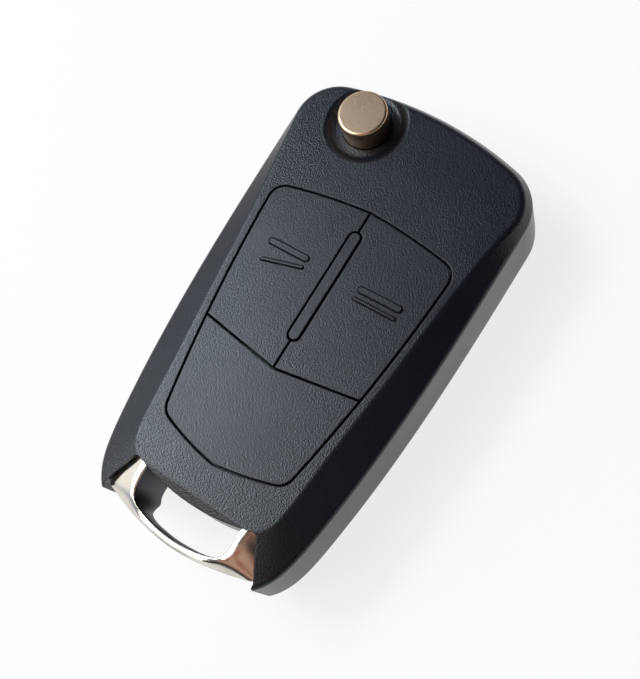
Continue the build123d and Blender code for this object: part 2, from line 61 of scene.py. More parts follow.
# %% [markdown]
# The key is seen from above, from its right side and a little from its ring end, as somebody would look
# down on it in the hand. The camera is given by its place and by the directions ahead of it and to its
# right, in millimetres and in the key's own axes, because these are easier to correct than three angles.

# %% Camera
CAMERA_PLACE = (45.3, -18.0, 127.2)
AHEAD = Vector((-0.344, 0.137, -0.929)).normalized()
ROUGHLY_RIGHT = Vector((0.82, 0.525, -0.226))
LENS = 47.7
SENSOR = 36.0
NEAR_CLIP = 0.002

right = (ROUGHLY_RIGHT - ROUGHLY_RIGHT.dot(AHEAD) * AHEAD).normalized()
up = right.cross(AHEAD).normalized()
camera_data = bpy.data.cameras.new("camera")
camera_data.lens = LENS
camera_data.sensor_width = SENSOR
camera_data.clip_start = NEAR_CLIP
camera = bpy.data.objects.new("camera", camera_data)
turn = Matrix((right, up, -AHEAD)).transposed().to_4x4()
camera.matrix_world = Matrix.Translation([MM * c for c in CAMERA_PLACE]) @ turn
scene.collection.objects.link(camera)
scene.camera = camera
print("camera at", CAMERA_PLACE, "mm")

# %% [markdown]
# Every finish below is a small network of shader nodes. A few helpers keep these short: one places a node
# and fills its sockets, one joins two sockets, and one makes a node group with named inputs and outputs.
# A group is the right tool for an effect that several finishes share, since each can then give it its own
# values.


# %% Helpers for shader nodes
def put(tree, kind, values=None, **settings):
    """A new shader node with its settings and the values of its unlinked inputs."""
    node = tree.nodes.new(kind)
    for name, value in settings.items():
        setattr(node, name, value)
    for name, value in (values or {}).items():
        node.inputs[name].default_value = value
    return node


def join(tree, source, target):
    """A link from one socket to another."""
    tree.links.new(source, target)


def start_group(name, inputs, outputs):
    """An empty node group with its sockets; inputs are (name, kind, value) and outputs (name, kind)."""
    group = bpy.data.node_groups.new(name, "ShaderNodeTree")
    for label, kind, value in inputs:
        socket = group.interface.new_socket(name=label, in_out="INPUT", socket_type=kind)
        socket.default_value = value
    for label, kind in outputs:
        group.interface.new_socket(name=label, in_out="OUTPUT", socket_type=kind)
    return group, group.nodes.new("NodeGroupInput"), group.nodes.new("NodeGroupOutput")


print("helpers for nodes ready")

# %% [markdown]
# The next helpers do the sums inside a finish. Each takes sockets or plain values, so that a line of the
# lesson reads like the formula it stands for: a value moved to another range, two colours mixed, two
# numbers or two directions put together.

# %% Helpers for values and colours
MIX_FIRST, MIX_SECOND, MIX_RESULT = 6, 7, 2


def feed(tree, socket, value):
    """A socket gets another socket's value, or a plain number, vector or colour."""
    if isinstance(value, (int, float, tuple)):
        socket.default_value = value
    else:
        join(tree, value, socket)


def ramp(tree, value, low, high, out_low=0.0, out_high=1.0):
    """A value moved from one range to another and held inside it."""
    limits = {"From Min": low, "From Max": high, "To Min": out_low, "To Max": out_high}
    node = put(tree, "ShaderNodeMapRange", limits)
    join(tree, value, node.inputs["Value"])
    return node.outputs["Result"]


def blend_colors(tree, share, first, second):
    """A mix of two colours; each is a socket or a fixed colour."""
    node = put(tree, "ShaderNodeMix", data_type="RGBA")
    join(tree, share, node.inputs["Factor"])
    for place, color in ((MIX_FIRST, first), (MIX_SECOND, second)):
        feed(tree, node.inputs[place], (*color, 1.0) if isinstance(color, tuple) else color)
    return node.outputs[MIX_RESULT]


def math_node(tree, operation, first, second=0.0):
    """One sum of numbers."""
    node = put(tree, "ShaderNodeMath", operation=operation)
    feed(tree, node.inputs[0], first)
    feed(tree, node.inputs[1], second)
    return node.outputs[0]


def vector_node(tree, operation, first, second=(0.0, 0.0, 0.0)):
    """One sum of vectors; a dot product and a distance give a number, the others a vector."""
    node = put(tree, "ShaderNodeVectorMath", operation=operation)
    feed(tree, node.inputs[0], first)
    feed(tree, node.inputs[1], second)
    return node.outputs["Value" if operation in ("DOT_PRODUCT", "DISTANCE") else "Vector"]


def own_place(tree):
    """Where a point lies on its piece, in metres."""
    return tree.nodes.new("ShaderNodeTexCoord").outputs["Object"]


def noise(tree, place, size, detail=2.0, roughness=0.5):
    """A noise whose features are about one size across; the size is a socket or a number, in metres."""
    node = put(tree, "ShaderNodeTexNoise", {"Detail": detail, "Roughness": roughness})
    join(tree, place, node.inputs["Vector"])
    scale = 1 / size if isinstance(size, float) else math_node(tree, "DIVIDE", 1.0, size)
    feed(tree, node.inputs["Scale"], scale)
    return node.outputs["Fac"]


print("helpers for values ready")

# %% [markdown]
# The case is moulded against an etched steel tool, which leaves a fine, dry grain: bumps about a sixth of
# a millimetre across. The grain could be painted, but a height that the light itself picks out holds up
# from every side: it glitters where a window is mirrored and goes quiet elsewhere. The group gives that
# height, a speck mask for a slight change of tone, and a much larger patch mask, because handling
# polishes some places first.

# %% Moulded grain
CELL_SHARE = 0.7
SPECK_RANGE = (0.42, 0.72)
PATCH_RANGE = (0.3, 0.7)
grain, grain_in, grain_out = start_group(
    "moulded grain",
    [("Grain Size", "NodeSocketFloat", 0.0002), ("Patch Size", "NodeSocketFloat", 0.014)],
    [("Speck", "NodeSocketFloat"), ("Patch", "NodeSocketFloat"), ("Height", "NodeSocketFloat")],
)
place = own_place(grain)
specks = noise(grain, place, grain_in.outputs["Grain Size"], roughness=0.65)
cells = put(grain, "ShaderNodeTexVoronoi", feature="F1")
join(grain, place, cells.inputs["Vector"])
cell_scale = math_node(grain, "DIVIDE", CELL_SHARE, grain_in.outputs["Grain Size"])
join(grain, cell_scale, cells.inputs["Scale"])
patches = noise(grain, place, grain_in.outputs["Patch Size"], detail=3.0)
join(grain, ramp(grain, specks, *SPECK_RANGE), grain_out.inputs["Speck"])
join(grain, ramp(grain, patches, *PATCH_RANGE), grain_out.inputs["Patch"])
bumps = math_node(grain, "SUBTRACT", 1.0, cells.outputs["Distance"])
join(grain, math_node(grain, "ADD", bumps, specks), grain_out.inputs["Height"])
print("group:", grain.name)

# %% [markdown]
# A pocket rubs the edges of a key first, and there the plastic turns paler. The Bevel node looks at the
# faces around a point and returns a rounded normal. Where it differs from the plain normal there is an
# edge, and a noise breaks it up, so the wear isn't an outline. The rounded normal is handed on as well,
# because it gives plastic and metal alike the soft glint of an edge that isn't razor sharp.

# %% Rubbed edges
EDGE_REACH = 0.00022
EDGE_SAMPLES = 6
EDGE_RANGE = (0.995, 0.86)
BREAK_RANGE = (0.38, 0.62)
edges, edges_in, edges_out = start_group(
    "rubbed edges",
    [("Break Size", "NodeSocketFloat", 0.002)],
    [("Mask", "NodeSocketFloat"), ("Soft Normal", "NodeSocketVector")],
)
rounded = put(edges, "ShaderNodeBevel", {"Radius": EDGE_REACH}, samples=EDGE_SAMPLES).outputs["Normal"]
plain = edges.nodes.new("ShaderNodeNewGeometry").outputs["Normal"]
edge = ramp(edges, vector_node(edges, "DOT_PRODUCT", rounded, plain), *EDGE_RANGE)
breaks = noise(edges, own_place(edges), edges_in.outputs["Break Size"], detail=4.0, roughness=0.6)
broken = ramp(edges, breaks, *BREAK_RANGE)
join(edges, math_node(edges, "MULTIPLY", edge, broken), edges_out.inputs["Mask"])
join(edges, rounded, edges_out.inputs["Soft Normal"])
print("group:", edges.name)

# %% [markdown]
# Ground and plated metal carries fine lines along the way it was worked or wiped. A noise that is
# stretched along one axis gives such lines, up to fifty times for the ground blade. The group takes the
# stretch as a vector, so a blade can be ground along its length and a cap can be brushed across.

# %% Worked metal
LINE_RANGE = (0.3, 0.7)
SMUDGE_SIZE = 0.004
SMUDGE_RANGE = (0.35, 0.68)
worked, worked_in, worked_out = start_group(
    "worked metal",
    [("Stretch", "NodeSocketVector", (1.0, 1.0, 1.0)), ("Line Size", "NodeSocketFloat", 0.0001)],
    [("Lines", "NodeSocketFloat"), ("Smudge", "NodeSocketFloat")],
)
metal_place = own_place(worked)
stretched = vector_node(worked, "MULTIPLY", metal_place, worked_in.outputs["Stretch"])
lines = noise(worked, stretched, worked_in.outputs["Line Size"], detail=3.0, roughness=0.6)
join(worked, ramp(worked, lines, *LINE_RANGE), worked_out.inputs["Lines"])
smudges = noise(worked, metal_place, SMUDGE_SIZE, detail=4.0)
join(worked, ramp(worked, smudges, *SMUDGE_RANGE), worked_out.inputs["Smudge"])
print("group:", worked.name)

# %% [markdown]
# A finish starts from Blender's Principled shader. The plastic ones mix a base colour with a paler speck
# colour by the grain, add the rubbed edges, and turn the grain's height into a normal with a Bump node.
# The case and the buttons differ: the buttons are pressed all day, so their grain is a little flatter.


# %% Moulded plastics
SPECK_SHARE = 0.75
PATCH_SHARE = 0.2
RUB_SHARE = 0.35
ROUGH_BELOW = 0.03
ROUGH_ABOVE = 0.05


def start_finish(name):
    """A new material with its node tree and its Principled shader."""
    material = bpy.data.materials.new(name)
    material.use_nodes = True
    return material, material.node_tree, material.node_tree.nodes["Principled BSDF"]


def add_group(tree, group, values):
    """A node group placed in a material with its own values."""
    return put(tree, "ShaderNodeGroup", values, node_tree=group)


def add_bump(tree, height, depth, normal=None):
    """A Bump node over a height, in metres."""
    node = put(tree, "ShaderNodeBump", {"Strength": 1.0, "Distance": depth})
    join(tree, height, node.inputs["Height"])
    if normal is not None:
        join(tree, normal, node.inputs["Normal"])
    return node.outputs["Normal"]


def plastic(name, colors, grain_size, grain_depth, rough, specular):
    """A grained plastic; its colours are the plain one, that of the specks and that of rubbed edges."""
    base, pale, rubbed = colors
    material, tree, shader = start_finish(name)
    texture = add_group(tree, grain, {"Grain Size": grain_size})
    wear = add_group(tree, edges, {})
    speck_part = math_node(tree, "MULTIPLY", texture.outputs["Speck"], SPECK_SHARE)
    patch_part = math_node(tree, "MULTIPLY", texture.outputs["Patch"], PATCH_SHARE)
    color = blend_colors(tree, math_node(tree, "ADD", speck_part, patch_part), base, pale)
    rub = math_node(tree, "MULTIPLY", wear.outputs["Mask"], RUB_SHARE)
    join(tree, blend_colors(tree, rub, color, rubbed), shader.inputs["Base Color"])
    roughness = ramp(tree, texture.outputs["Patch"], 0.0, 1.0, rough - ROUGH_BELOW, rough + ROUGH_ABOVE)
    join(tree, roughness, shader.inputs["Roughness"])
    shader.inputs["Specular IOR Level"].default_value = specular
    normal = add_bump(tree, texture.outputs["Height"], grain_depth, wear.outputs["Soft Normal"])
    join(tree, normal, shader.inputs["Normal"])
    return material


BLACK = ((0.0050, 0.0065, 0.0095), (0.010, 0.013, 0.019), (0.05, 0.055, 0.065))
PRESSED_GRAIN = {"grain_size": 0.00016, "grain_depth": 0.000026, "rough": 0.30, "specular": 0.42}
case_plastic = plastic(
    "case plastic", BLACK, grain_size=0.00017, grain_depth=0.000028, rough=0.29, specular=0.42
)
panel_plastic = plastic("panel plastic", BLACK, **PRESSED_GRAIN)
print("plastics:", case_plastic.name, panel_plastic.name)

# %% [markdown]
# Each button carries two moulded bars as its symbol, a broad one and a thin one. Round every bar runs a
# fine groove, and the shade in it is painted into the colour as a dark outline. The bars are in the solids
# already.
# The outline could be cut as well, but a groove of a tenth of a millimetre is a matter of finish. A group
# measures how far a point is from the bar's middle line, and where that is half the bar's width it
# returns the line's mask.

# %% Outline of a button bar
LEVEL = (1.0, 1.0, 0.0)
LINE_CORE = 0.45
outline, outline_in, outline_out = start_group(
    "bar outline",
    [
        ("Start", "NodeSocketVector", (0.0, 0.0, 0.0)),
        ("End", "NodeSocketVector", (0.001, 0.0, 0.0)),
        ("Half Width", "NodeSocketFloat", 0.0005),
        ("Line Width", "NodeSocketFloat", 0.00012),
    ],
    [("Line", "NodeSocketFloat")],
)
flat_place = vector_node(outline, "MULTIPLY", own_place(outline), LEVEL)
from_start = vector_node(outline, "SUBTRACT", flat_place, outline_in.outputs["Start"])
along = vector_node(outline, "SUBTRACT", outline_in.outputs["End"], outline_in.outputs["Start"])
reach = vector_node(outline, "DOT_PRODUCT", from_start, along)
length_squared = vector_node(outline, "DOT_PRODUCT", along, along)
share = ramp(outline, math_node(outline, "DIVIDE", reach, length_squared), 0.0, 1.0)
nearest = put(outline, "ShaderNodeVectorMath", operation="SCALE")
join(outline, along, nearest.inputs[0])
join(outline, share, nearest.inputs["Scale"])
away = vector_node(outline, "DISTANCE", from_start, nearest.outputs["Vector"])
beside = math_node(outline, "SUBTRACT", away, outline_in.outputs["Half Width"])
off_line = math_node(outline, "ABSOLUTE", beside)
relative = math_node(outline, "DIVIDE", off_line, outline_in.outputs["Line Width"])
join(outline, ramp(outline, relative, LINE_CORE, 1.0, 1.0, 0.0), outline_out.inputs["Line"])
print("group:", outline.name)

# %% [markdown]
# The buttons take the same plastic as the lower panel. On top of it, each of the four bars is given to
# the outline group by the two ends of its middle line and half its width, in millimetres. The strongest
# of the four masks darkens the colour as painted shade in the groove, dulls the shine and sinks the surface
# a little.

# %% Button plastic
BUTTON_BARS = [
    ((-10.4, 7.6), (-4.6, 7.6), 0.5),
    ((-10.2, 4.7), (-4.4, 6.2), 0.25),
    ((4.9, 7.3), (10.8, 7.3), 0.5),
    ((4.7, 5.8), (10.9, 5.8), 0.25),
]
# painted shade: a near-black colour for the shade in the groove round each bar
PAINTED_GROOVE_SHADE = (0.001, 0.001, 0.0015)
GROOVE_DEPTH = 0.00006


def now_in(shader, name):
    """The socket that feeds an input of the shader so far."""
    return shader.inputs[name].links[0].from_socket


button_plastic = plastic("button plastic", BLACK, **PRESSED_GRAIN)
tree = button_plastic.node_tree
shader = tree.nodes["Principled BSDF"]
groove_and_shade = None
for (start_x, start_y), (end_x, end_y), half_width in BUTTON_BARS:
    ends = {"Start": (start_x * MM, start_y * MM, 0.0), "End": (end_x * MM, end_y * MM, 0.0)}
    line = add_group(tree, outline, {**ends, "Half Width": half_width * MM}).outputs["Line"]
    groove_and_shade = line if groove_and_shade is None else math_node(tree, "MAXIMUM", groove_and_shade, line)
# the groove's shade is painted into the colour here
shaded_groove_color = blend_colors(tree, groove_and_shade, now_in(shader, "Base Color"), PAINTED_GROOVE_SHADE)
join(tree, shaded_groove_color, shader.inputs["Base Color"])
grooved_rough = math_node(tree, "MAXIMUM", now_in(shader, "Roughness"), groove_and_shade)
join(tree, grooved_rough, shader.inputs["Roughness"])
height = math_node(tree, "SUBTRACT", 1.0, groove_and_shade)
grooved_normal = add_bump(tree, height, GROOVE_DEPTH, now_in(shader, "Normal"))
join(tree, grooved_normal, shader.inputs["Normal"])
print("button bars with an outline:", len(BUTTON_BARS))

# %% [markdown]
# The release button is brass under satin nickel, warm and soft in its shine. The loop is bright chrome
# that a key ring has dulled a little. Both are metallic, so their colour is in the reflection. Fine lines
# and faint smudges change the roughness. The metals inside differ in tone, in roughness and in the way of
# their lines.

# %% Metals
LINES_SHARE = 0.6
SMUDGE_SHARE = 0.4
EVEN = (1.0, 1.0, 1.0)


def metal(name, base, smudged, rough_low, rough_high, stretch, line_size, depth):
    """A plated or ground metal with fine lines, smudges and softened edges."""
    material, tree, shader = start_finish(name)
    shader.inputs["Metallic"].default_value = 1.0
    work = add_group(tree, worked, {"Stretch": stretch, "Line Size": line_size})
    wear = add_group(tree, edges, {})
    join(tree, blend_colors(tree, work.outputs["Smudge"], base, smudged), shader.inputs["Base Color"])
    lines_part = math_node(tree, "MULTIPLY", work.outputs["Lines"], LINES_SHARE)
    smudge_part = math_node(tree, "MULTIPLY", work.outputs["Smudge"], SMUDGE_SHARE)
    amount = math_node(tree, "ADD", lines_part, smudge_part)
    join(tree, ramp(tree, amount, 0.0, 1.0, rough_low, rough_high), shader.inputs["Roughness"])
    normal = add_bump(tree, work.outputs["Lines"], depth, wear.outputs["Soft Normal"])
    join(tree, normal, shader.inputs["Normal"])
    return material


# name, colour, colour where smudged, least and most roughness, stretch, line size, depth of the lines
satin_chrome = metal(
    "satin chrome", (0.66, 0.45, 0.28), (0.60, 0.42, 0.27), 0.24, 0.34, (1.0, 0.25, 1.0), 0.0002, 0.000002
)
ring_chrome = metal("ring chrome", (0.74, 0.71, 0.65), (0.66, 0.61, 0.54), 0.11, 0.2, EVEN, 0.0006, 0.000002)
blade_steel = metal(
    "ground steel", (0.60, 0.60, 0.60), (0.50, 0.50, 0.50), 0.22, 0.38, (1.0, 0.02, 1.0), 0.00008, 0.000004
)
cast_zinc = metal("cast zinc", (0.46, 0.46, 0.47), (0.38, 0.38, 0.39), 0.35, 0.5, EVEN, 0.0002, 0.000006)
tinned_steel = metal(
    "tinned steel", (0.66, 0.66, 0.65), (0.55, 0.55, 0.55), 0.2, 0.35, (0.1, 1.0, 1.0), 0.0001, 0.000002
)
spring_steel = metal(
    "spring steel", (0.42, 0.42, 0.43), (0.33, 0.33, 0.34), 0.25, 0.4, (1.0, 1.0, 0.3), 0.0002, 0.000002
)
contact_brass = metal(
    "contact brass", (0.72, 0.52, 0.25), (0.60, 0.42, 0.2), 0.2, 0.35, (1.0, 0.1, 1.0), 0.0001, 0.000002
)
black_zinc = metal("black zinc", (0.10, 0.10, 0.11), (0.07, 0.07, 0.08), 0.3, 0.45, EVEN, 0.0002, 0.000003)
print("metals ready")

# %% [markdown]
# The walls of the hole in the ring loop get a painted shade: their colour is darkened to stand in for the
# dark that they mirror inside the hole, and their shine is dulled. A point is on such a wall when its
# surface faces the middle of the hole, which one dot product tells.

# %% Painted shade and dull shine on the walls of the ring hole
HOLE_MIDDLE = (0.0, -0.0308, 0.0)
WALL_SHADE_AND_DULL_RANGE = (0.45, 0.7)
# painted shade: a dark colour for the walls of the hole, standing in for their dark reflection
PAINTED_WALL_SHADE = (0.050, 0.052, 0.060)
DULL_ROUGH = 0.35
tree = ring_chrome.node_tree
shader = tree.nodes["Principled BSDF"]
to_middle = vector_node(tree, "SUBTRACT", HOLE_MIDDLE, own_place(tree))
to_middle = vector_node(tree, "NORMALIZE", vector_node(tree, "MULTIPLY", to_middle, LEVEL))
loop_normal = tree.nodes.new("ShaderNodeNewGeometry").outputs["Normal"]
shade_and_dull = ramp(tree, vector_node(tree, "DOT_PRODUCT", to_middle, loop_normal), *WALL_SHADE_AND_DULL_RANGE)
# the wall colour is darkened here as painted shade; the roughness below is real
painted_shade_color = blend_colors(tree, shade_and_dull, now_in(shader, "Base Color"), PAINTED_WALL_SHADE)
join(tree, painted_shade_color, shader.inputs["Base Color"])
least_rough = math_node(tree, "MULTIPLY", shade_and_dull, DULL_ROUGH)
dulled_rough = math_node(tree, "MAXIMUM", now_in(shader, "Roughness"), least_rough)
join(tree, dulled_rough, shader.inputs["Roughness"])
print("dull walls in:", ring_chrome.name)

# %% [markdown]
# Three finishes stay inside the case. The board is green lacquer over copper tracks, which show as
# slightly paler lines; a brick pattern gives the right, square-cornered look. The mat is matt silicone
# rubber, and the chips are moulded epoxy with a dry surface.

# %% Inside finishes
TRACK_SIZE = 0.0016
TRACK_DEPTH = 0.00002
LACQUER = {
    "Scale": 1 / TRACK_SIZE,
    "Mortar Size": 0.06,
    "Mortar Smooth": 0.3,
    "Color1": (0.010, 0.110, 0.045, 1.0),
    "Color2": (0.012, 0.125, 0.052, 1.0),
    "Mortar": (0.030, 0.230, 0.090, 1.0),
}
MAT_COLORS = ((0.055, 0.055, 0.060), (0.085, 0.085, 0.090), (0.12, 0.12, 0.12))
CHIP_COLORS = ((0.012, 0.012, 0.013), (0.030, 0.030, 0.032), (0.06, 0.06, 0.06))
board_lacquer, tree, shader = start_finish("board lacquer")
tracks = put(tree, "ShaderNodeTexBrick", LACQUER)
join(tree, own_place(tree), tracks.inputs["Vector"])
join(tree, tracks.outputs["Color"], shader.inputs["Base Color"])
shader.inputs["Coat Weight"].default_value = 0.4
shader.inputs["Roughness"].default_value = 0.35
join(tree, add_bump(tree, tracks.outputs["Fac"], TRACK_DEPTH), shader.inputs["Normal"])
mat_rubber = plastic(
    "mat rubber", MAT_COLORS, grain_size=0.0004, grain_depth=0.00001, rough=0.7, specular=0.3
)
chip_epoxy = plastic(
    "chip epoxy", CHIP_COLORS, grain_size=0.00015, grain_depth=0.000008, rough=0.5, specular=0.4
)
print("inside finishes ready")

# %% [markdown]
# The loop is a chromed casting that arches across the ring end. Its inner edge carries a narrow, nearly
# flat band, its posts fall away outwards like the case's bevel, and its bar is thin, so that a split ring
# threads over it. The plain solid has straight faces, so here the loop is laid as a skin: a row of
# cross-sections from one post round to the other. Each station gives the inner edge, the outer edge,
# their heights and the underside. A smooth curve through the stations fills in the sections between them.

# %% Loop stations
# inner x, inner y, outer x, outer y, inner height, outer height, underside
LOOP_STATIONS = [
    (7.95, -27.45, 10.22, -27.45, 14.05, 13.75, 4.4),
    (7.95, -28.60, 10.80, -28.75, 14.00, 13.40, 4.4),
    (7.95, -30.00, 11.52, -30.40, 13.90, 13.00, 4.4),
    (7.85, -31.30, 12.12, -31.80, 13.75, 12.50, 4.4),
    (7.40, -32.40, 12.50, -32.90, 13.55, 12.00, 4.4),
    (6.60, -33.10, 10.60, -33.60, 13.35, 12.10, 6.8),
    (5.40, -33.55, 8.20, -34.25, 13.15, 12.30, 9.2),
    (3.80, -33.90, 5.40, -34.85, 13.00, 12.40, 10.1),
    (1.90, -34.10, 2.60, -35.20, 12.90, 12.40, 10.3),
    (0.00, -34.20, 0.00, -35.35, 12.90, 12.40, 10.3),
]
STEPS_BETWEEN = 7


def smooth_between(before, start, end, after, share):
    """A point on the smooth curve that passes through all the stations."""
    point = []
    for a, b, c, d in zip(before, start, end, after):
        bend = (2 * a - 5 * b + 4 * c - d) * share + (3 * b - a - 3 * c + d) * share * share
        point.append(b + 0.5 * share * ((c - a) + bend))
    return point


mirrored = [(-ix, iy, -ox, oy, *rest) for ix, iy, ox, oy, *rest in reversed(LOOP_STATIONS[:-1])]
stations = LOOP_STATIONS + mirrored
rows = []
for index in range(len(stations) - 1):
    near = [stations[max(index - 1, 0)], stations[index], stations[index + 1]]
    near.append(stations[min(index + 2, len(stations) - 1)])
    for step in range(STEPS_BETWEEN):
        rows.append(smooth_between(*near, step / STEPS_BETWEEN))
rows.append(list(stations[-1]))
print("loop sections:", len(rows))

# %% [markdown]
# The loop, the spring and the chip's legs are all made the same way: rings of points stand one behind
# another, each is joined to the one before by faces, and both ends are closed. Two helpers do that, and
# turn the faces outwards at the end, so that light and wear find the right side.


# %% Helpers for skins
def join_rings(skin, rings):
    """Faces from each ring of points to the following one, and one face over each end."""
    for ring, following in zip(rings, rings[1:]):
        for place in range(len(ring)):
            beyond = (place + 1) % len(ring)
            skin.faces.new((ring[place], following[place], following[beyond], ring[beyond]))
    skin.faces.new(rings[0])
    skin.faces.new(list(reversed(rings[-1])))


def add_piece(name, skin):
    """An object made of a skin whose faces are turned outwards."""
    bmesh.ops.recalc_face_normals(skin, faces=skin.faces)
    mesh = bpy.data.meshes.new(name)
    skin.to_mesh(mesh)
    skin.free()
    piece = bpy.data.objects.new(name, mesh)
    scene.collection.objects.link(piece)
    return piece


print("helpers for skins ready")

# %% [markdown]
# A cross-section starts on the wall of the hole, rounds the inner edge, runs along the flat band, falls
# down the slope to the outer edge, and comes back underneath. The band and the slope are points given as
# a share of their width and a share of the whole fall, so that one list fits the wide posts and the
# narrow bar.

# %% Loop cross-section
EDGE_SOFT = 0.22
CORNER_SHARE = 0.3
BAND = 1.15
BAND_MOST = 0.6
BAND_FALL = [(0.75, 0.03), (1.0, 0.08)]
SLOPE_FALL = [(0.25, 0.28), (0.62, 0.62)]
UNDERCUT = 0.35


def loop_section(inner_x, inner_y, outer_x, outer_y, inner_z, outer_z, low_z):
    """The corners of one cross-section, from the inner wall over the top and back underneath."""
    width = math.hypot(outer_x - inner_x, outer_y - inner_y)
    drop = inner_z - outer_z
    band = min(BAND, BAND_MOST * width)
    slope = width - EDGE_SOFT - band
    corner = CORNER_SHARE * EDGE_SOFT
    profile = [(0.0, inner_z - EDGE_SOFT), (corner, inner_z - corner), (EDGE_SOFT, inner_z)]
    profile += [(share * band, inner_z - fall * drop) for share, fall in BAND_FALL]
    profile += [(band + share * slope, inner_z - fall * drop) for share, fall in SLOPE_FALL]
    profile += [(width - EDGE_SOFT, outer_z), (width - corner, outer_z - corner)]
    profile += [(width, outer_z - EDGE_SOFT), (width - UNDERCUT, low_z + EDGE_SOFT)]
    profile += [(width - UNDERCUT - EDGE_SOFT, low_z), (EDGE_SOFT, low_z), (0.0, low_z + EDGE_SOFT)]
    across = ((outer_x - inner_x) / width, (outer_y - inner_y) / width)
    return [(MM * (inner_x + u * across[0]), MM * (inner_y + u * across[1]), MM * z) for u, z in profile]


print("corners in a section:", len(loop_section(*rows[0])))

# %% [markdown]
# Two round lugs hold the loop in the case. They start inside its posts, reach towards the head, and can't
# be seen from outside, but they are part of the casting, so they belong to the same skin.

# %% Loop skin
LUG_X, LUG_LOW, LUG_HIGH, LUG_Z, LUG_RADIUS = 8.9, -27.9, -24.9, 5.2, 1.0
LUG_SEGMENTS = 32
LUG_LENGTH = (LUG_HIGH - LUG_LOW) * MM
lug_size = {"radius1": LUG_RADIUS * MM, "radius2": LUG_RADIUS * MM, "depth": LUG_LENGTH}
skin = bmesh.new()
join_rings(skin, [[skin.verts.new(corner) for corner in loop_section(*row)] for row in rows])
for side in (-1, 1):
    middle = Vector((side * LUG_X, (LUG_LOW + LUG_HIGH) / 2, LUG_Z)) * MM
    stand = Matrix.Translation(middle) @ Matrix.Rotation(math.radians(90), 4, "X")
    bmesh.ops.create_cone(skin, cap_ends=True, segments=LUG_SEGMENTS, matrix=stand, **lug_size)
ring_loop = add_piece("ring_loop", skin)
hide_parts("key_ring_loop")
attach(ring_loop, "case")
print("loop faces:", len(ring_loop.data.polygons))

# %% [markdown]
# Under the release button stands a coil spring, wound with a closed turn at each end so that it seats
# flat. It gets shorter when the button is pressed, which a stiff solid can't do, so it is wound here
# again as a skin: a small ring of points is carried along a spiral line. The frame gives the spring's
# box, and from it come the radius of the coil and the pitch of its open turns.

# %% Spiral of the flip spring
SPRING_TURNS = 7
CLOSED_TURNS = 2
WIRE_RADIUS = 0.0003
END_RISE = 0.00068
spring_low, spring_high = (Vector(corner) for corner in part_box("flip_spring"))
spring_middle = (spring_low + spring_high) / 2
coil_radius = (spring_high.x - spring_low.x) / 2 - WIRE_RADIUS
first_height = spring_low.z + WIRE_RADIUS
last_height = spring_high.z - WIRE_RADIUS
open_turns = SPRING_TURNS - CLOSED_TURNS
open_pitch = (last_height - first_height - CLOSED_TURNS * END_RISE) / open_turns


def spiral_height(turns):
    """How high the wire's middle is after so many turns, with one closed turn at each end."""
    opened = min(max(turns - 1, 0), open_turns)
    return first_height + (turns - opened) * END_RISE + opened * open_pitch


print("open pitch:", round(open_pitch / MM, 2), "mm")

# %% [markdown]
# Now the ring of points is carried round. The spring stands on its seat in the case, and it is attached
# to the case with a mesh of its own.

# %% Flip spring
STEPS_PER_TURN = 40
RING_POINTS = 12
UPWARDS = Vector((0.0, 0.0, 1.0))
winding = bmesh.new()
wire_rings = []
for step in range(SPRING_TURNS * STEPS_PER_TURN + 1):
    turns = step / STEPS_PER_TURN
    outward = Vector((math.cos(2 * math.pi * turns), math.sin(2 * math.pi * turns), 0.0))
    center = Vector((spring_middle.x, spring_middle.y, spiral_height(turns))) + coil_radius * outward
    angles = [2 * math.pi * point / RING_POINTS for point in range(RING_POINTS)]
    offsets = [math.cos(angle) * outward + math.sin(angle) * UPWARDS for angle in angles]
    wire_rings.append([winding.verts.new(center + WIRE_RADIUS * offset) for offset in offsets])
join_rings(winding, wire_rings)
spring_coil = add_piece("spring_coil", winding)
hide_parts("flip_spring")
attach(spring_coil, "case")
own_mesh(spring_coil)

# %% [markdown]
# The control chip is soldered to the board by bent legs, seven on each of its four sides. One leg is a
# thin strip that leaves the chip level, steps down, and lies flat on its pad. The strip's side view is
# written once, and each leg is that view given a width and turned to its place.

# %% Chip legs
CHIP_SIDES = 4
LEGS_PER_SIDE = 7
LEG_PITCH = 0.00062
LEG_WIDTH = 0.00026
LEG_THICK = 0.00012
LEG_LINE = [(-0.0001, 0.00048), (0.00022, 0.00048), (0.00042, 0.00007), (0.00085, 0.00007)]
LEG_CORNERS = [(-1, -1), (1, -1), (1, 1), (-1, 1)]
chip_low, chip_high = (Vector(corner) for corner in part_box("control_chip"))
chip_middle = (chip_low + chip_high) / 2
chip_reach = (chip_high.x - chip_low.x) / 2
chip_foot = Vector((chip_middle.x, chip_middle.y, chip_low.z))
legs = bmesh.new()
for side in range(CHIP_SIDES):
    turned = Matrix.Rotation(2 * math.pi * side / CHIP_SIDES, 3, "Z")
    for leg in range(LEGS_PER_SIDE):
        along_side = (leg - (LEGS_PER_SIDE - 1) / 2) * LEG_PITCH
        squares = []
        for out, lift in LEG_LINE:
            square = []
            for across, rise in LEG_CORNERS:
                sideways = along_side + across * LEG_WIDTH / 2
                spot = Vector((chip_reach + out, sideways, rise * LEG_THICK / 2 + lift))
                square.append(legs.verts.new(turned @ spot + chip_foot))
            squares.append(square)
        join_rings(legs, squares)
chip_legs = add_piece("chip_legs", legs)
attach(chip_legs, "case")
print("chip legs:", CHIP_SIDES * LEGS_PER_SIDE)

# %% [markdown]
# Each piece gets its finish by name. The pieces come from the frame as fine triangles, so their shading
# is smoothed and only real corners stay sharp. The three pieces made above take the place of two from the
# frame and join the chip, so they are dressed beside them.

